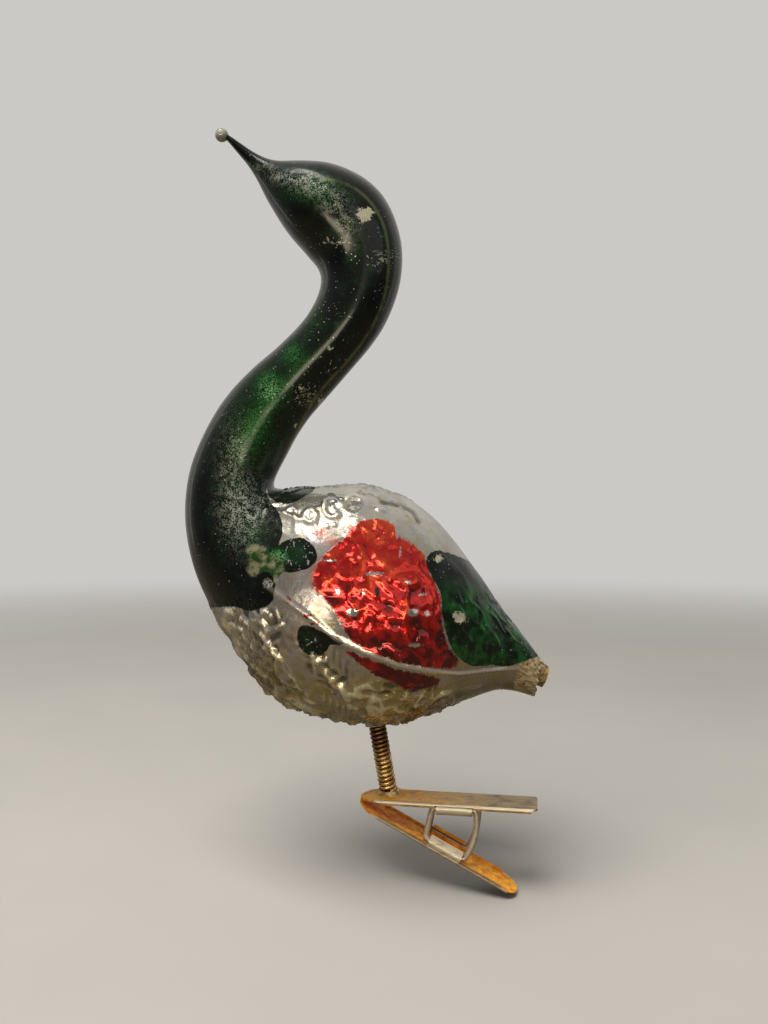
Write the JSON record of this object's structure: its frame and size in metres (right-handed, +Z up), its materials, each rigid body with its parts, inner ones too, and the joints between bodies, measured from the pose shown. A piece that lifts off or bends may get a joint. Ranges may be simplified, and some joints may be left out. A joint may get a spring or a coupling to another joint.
{
  "type": "clip-on blown-glass bird ornament",
  "caption": "Hollow blown-glass swan with a long S-curved neck, drawn-out beak and open tail stub, on a coil-spring leg soldered to a sprung sheet-metal clip.",
  "frame": {"origin": "where the noses of the clip's two jaws meet, on the middle line of the jaws", "axes": "+Z up the leg to the head, -X the way the bird faces, +X towards the tail, -Y the bird's left side"},
  "size_m": [0.0655, 0.0378, 0.1351],
  "materials": {
    "glass_bird": "silvered inside; worn green, red and clear lacquer outside",
    "tail_glue": "brittle old glue",
    "leg_plug": "plaster",
    "leg_spring": "tarnished brassed wire",
    "leg_solder": "dull solder",
    "upper_jaw": "rusted tin plate",
    "lower_jaw": "rusted tin plate",
    "ring_spring_left": "dull wire",
    "ring_spring_right": "dull wire"
  },
  "bodies": {
    "upper_clip": {"upper_jaw": "upper_jaw", "leg_solder": "leg_solder", "ring_spring_left": "ring_spring_left", "ring_spring_right": "ring_spring_right"},
    "lower_clip": {"lower_jaw": "lower_jaw"},
    "leg": {"leg_spring": "leg_spring"},
    "leg_top": {"leg_plug": "leg_plug"},
    "bird": {"glass_bird": "glass_bird", "tail_glue": "tail_glue"}
  },
  "joints": [
    {"name": "clip_open", "type": "hinge", "parent": "upper_clip", "child": "lower_clip", "pos_m": [0.01592, -0.00281, -0.00382], "axis": [-0.1736, -0.9848, 0], "range_deg": [0, 30], "stiffness_Nm_per_rad": 0.03, "springref_deg": -51.57, "deforming": ["ring_spring_left", "ring_spring_right"]},
    {"name": "leg_nod", "type": "hinge", "parent": "upper_clip", "child": "leg", "pos_m": [0.00431, 0, 0.00475], "axis": [0, 1, 0], "range_deg": [-20, 20], "stiffness_Nm_per_rad": 0.05, "deforming": ["leg_spring"]},
    {"name": "leg_sway", "type": "hinge", "parent": "leg", "child": "leg_top", "pos_m": [0.00333, 0, 0.01036], "axis": [1, 0, 0], "range_deg": [-20, 20], "stiffness_Nm_per_rad": 0.05, "deforming": ["leg_spring"]},
    {"name": "leg_twist", "type": "hinge", "parent": "leg_top", "child": "bird", "pos_m": [0.0028, 0, 0.0134], "axis": [-0.1721, 0, 0.9851], "range_deg": [-30, 30], "stiffness_Nm_per_rad": 0.02}
  ]
}
